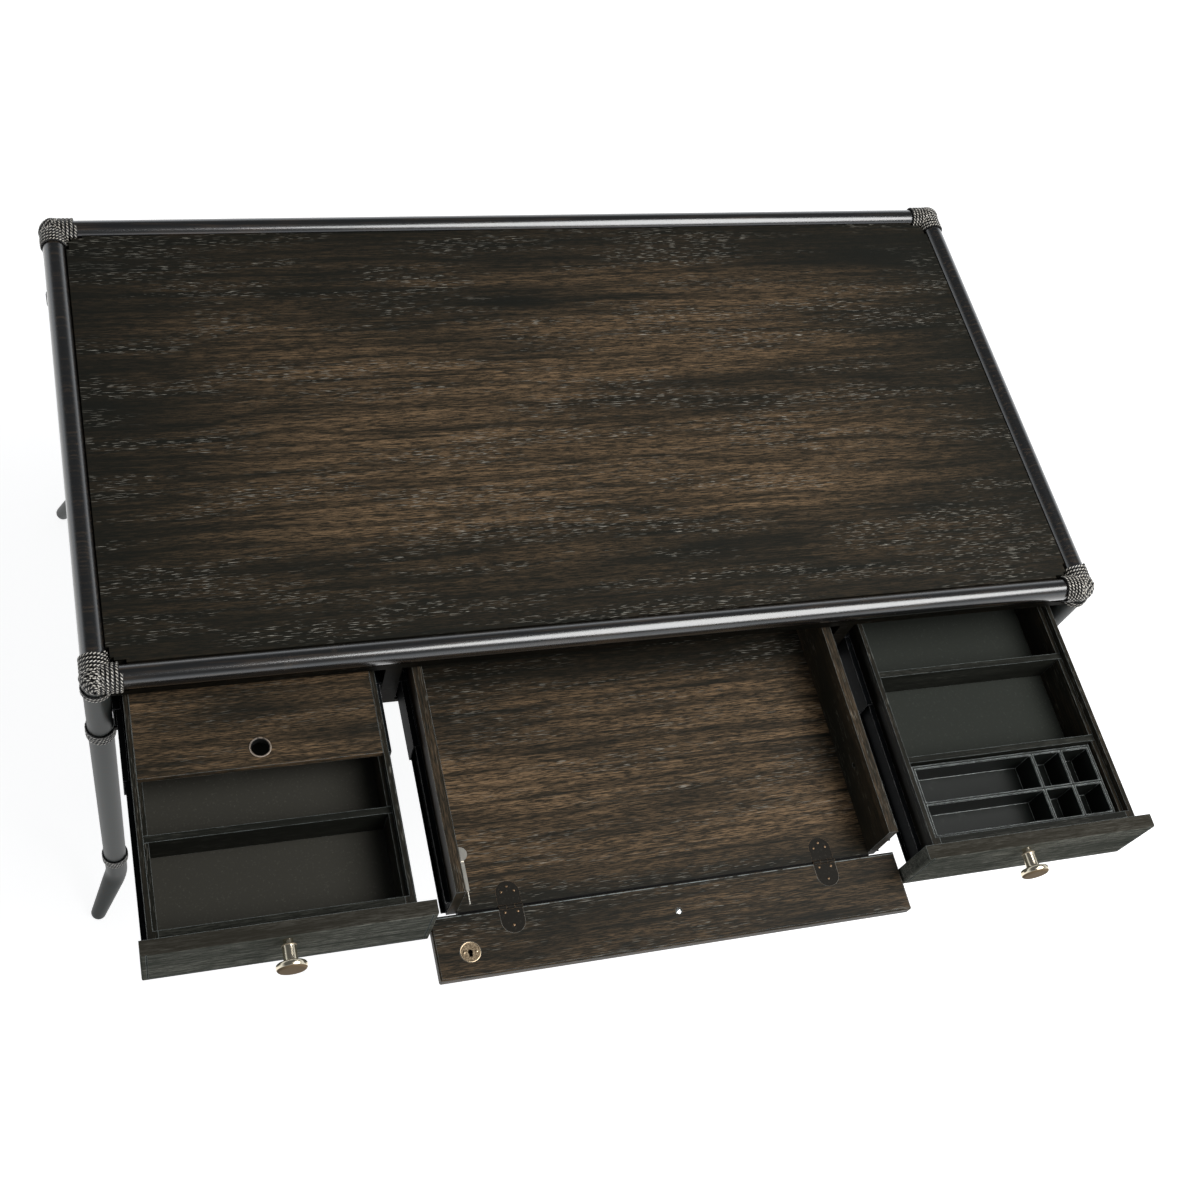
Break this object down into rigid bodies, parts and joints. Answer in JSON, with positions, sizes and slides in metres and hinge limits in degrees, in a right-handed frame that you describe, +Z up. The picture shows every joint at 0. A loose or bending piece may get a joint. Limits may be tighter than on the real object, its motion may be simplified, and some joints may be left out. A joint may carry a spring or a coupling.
{
  "type": "writing desk",
  "caption": "Writing desk on bound pole legs with bent feet, side drawers on telescopic slides and a centre tray with a hinged drop front.",
  "frame": {"origin": "on the floor under the middle of the desk's outline as it stands in the picture, with its drawers and tray pulled out", "axes": "+X to the sitter's right along the desk's length, +Y to the back, +Z up"},
  "size_m": [1.4222, 1.1135, 0.7616],
  "materials": {
    "pole_lacquer": "glossy black lacquer on rattan-style poles",
    "leg_lacquer": "satin grey-black lacquer",
    "binding_cord": "twisted dark binding cord, waxed",
    "dark_oak": "ebonised open-pored wood, satin",
    "drawer_lining": "black stained wood, dull",
    "slide_steel": "black zinc, satin",
    "knob_brass": "pale polished brass with a worn patina",
    "aged_brass": "aged brass",
    "black_hinge": "blackened brass worn at the rims",
    "grommet_black": "gloss black"
  },
  "bodies": {
    "desk_frame": {"front_pole": "pole_lacquer", "back_pole": "pole_lacquer", "left_pole": "pole_lacquer", "right_pole": "pole_lacquer", "front_left_leg": "leg_lacquer", "front_right_leg": "leg_lacquer", "back_left_leg": "leg_lacquer", "back_right_leg": "leg_lacquer", "corner_bindings": "binding_cord", "leg_bindings": "binding_cord", "desktop": "dark_oak", "case_left_side": "dark_oak", "case_right_side": "dark_oak", "case_back": "dark_oak", "left_partition": "dark_oak", "right_partition": "dark_oak", "top_rail": "dark_oak", "bottom_rail": "dark_oak", "bottom_panel": "drawer_lining", "left_case_slides": "slide_steel", "right_case_slides": "slide_steel", "tray_case_slides": "slide_steel"},
    "left_drawer": {"left_drawer_front": "dark_oak", "left_drawer_box_front": "drawer_lining", "left_drawer_outer_side": "dark_oak", "left_drawer_inner_side": "dark_oak", "left_drawer_back": "drawer_lining", "left_drawer_floor": "drawer_lining", "left_drawer_divider": "drawer_lining", "left_drawer_knob": "knob_brass", "left_drawer_slides": "slide_steel"},
    "left_lid": {"left_drawer_lid": "dark_oak", "lid_grommet": "grommet_black"},
    "left_middle_slides": {"left_middle_slides": "slide_steel"},
    "right_drawer": {"right_drawer_front": "dark_oak", "right_drawer_box_front": "drawer_lining", "right_drawer_outer_side": "dark_oak", "right_drawer_inner_side": "dark_oak", "right_drawer_back": "drawer_lining", "right_drawer_floor": "drawer_lining", "right_drawer_dividers": "drawer_lining", "right_drawer_knob": "knob_brass", "right_drawer_slides": "slide_steel"},
    "pencil_tray": {"pencil_tray": "drawer_lining"},
    "right_middle_slides": {"right_middle_slides": "slide_steel"},
    "centre_tray": {"tray_floor": "dark_oak", "tray_left_wall": "dark_oak", "tray_right_wall": "dark_oak", "tray_back": "drawer_lining", "tray_drawer_slides": "slide_steel", "tray_hinge_leaves": "black_hinge", "catch_base": "aged_brass"},
    "tray_middle_slides": {"tray_middle_slides": "slide_steel"},
    "drop_front": {"flap": "dark_oak", "flap_hinge_leaves": "black_hinge", "hinge_pins": "black_hinge", "flap_knob": "knob_brass", "flap_knob_screw": "aged_brass", "catch_plate": "aged_brass"},
    "catch_lever": {"catch_lever": "aged_brass"}
  },
  "joints": [
    {"name": "left_drawer_slide", "type": "slide", "parent": "desk_frame", "child": "left_drawer", "axis": [0, -1, 0], "range_m": [-0.302, 0.198]},
    {"name": "left_middle_travel", "type": "slide", "parent": "desk_frame", "child": "left_middle_slides", "axis": [0, -1, 0], "range_m": [-0.151, 0.099]},
    {"name": "right_drawer_slide", "type": "slide", "parent": "desk_frame", "child": "right_drawer", "axis": [0, -1, 0], "range_m": [-0.3218, 0.1782]},
    {"name": "right_middle_travel", "type": "slide", "parent": "desk_frame", "child": "right_middle_slides", "axis": [0, -1, 0], "range_m": [-0.1609, 0.0891]},
    {"name": "tray_slide", "type": "slide", "parent": "desk_frame", "child": "centre_tray", "axis": [0, -1, 0], "range_m": [-0.2953, 0.2047]},
    {"name": "tray_middle_travel", "type": "slide", "parent": "desk_frame", "child": "tray_middle_slides", "axis": [0, -1, 0], "range_m": [-0.14765, 0.10235]},
    {"name": "lid_slide", "type": "slide", "parent": "left_drawer", "child": "left_lid", "axis": [0, -1, 0], "range_m": [0, 0.183]},
    {"name": "pencil_tray_lift", "type": "slide", "parent": "right_drawer", "child": "pencil_tray", "axis": [0, 0, 1], "range_m": [0, 0.065]},
    {"name": "drop_front_hinge", "type": "hinge", "parent": "centre_tray", "child": "drop_front", "pos_m": [0, -0.47845, 0.6407], "axis": [-1, 0, 0], "range_deg": [0, 90]},
    {"name": "catch_rock", "type": "hinge", "parent": "centre_tray", "child": "catch_lever", "pos_m": [-0.2695, -0.44845, 0.689], "axis": [-1, 0, 0], "range_deg": [0, 8], "stiffness_Nm_per_rad": 0.05, "springref_deg": -14.32}
  ],
  "couplings": [
    {"joint": "left_middle_travel", "follows": "left_drawer_slide", "ratio": 0.5},
    {"joint": "right_middle_travel", "follows": "right_drawer_slide", "ratio": 0.5},
    {"joint": "tray_middle_travel", "follows": "tray_slide", "ratio": 0.5}
  ]
}
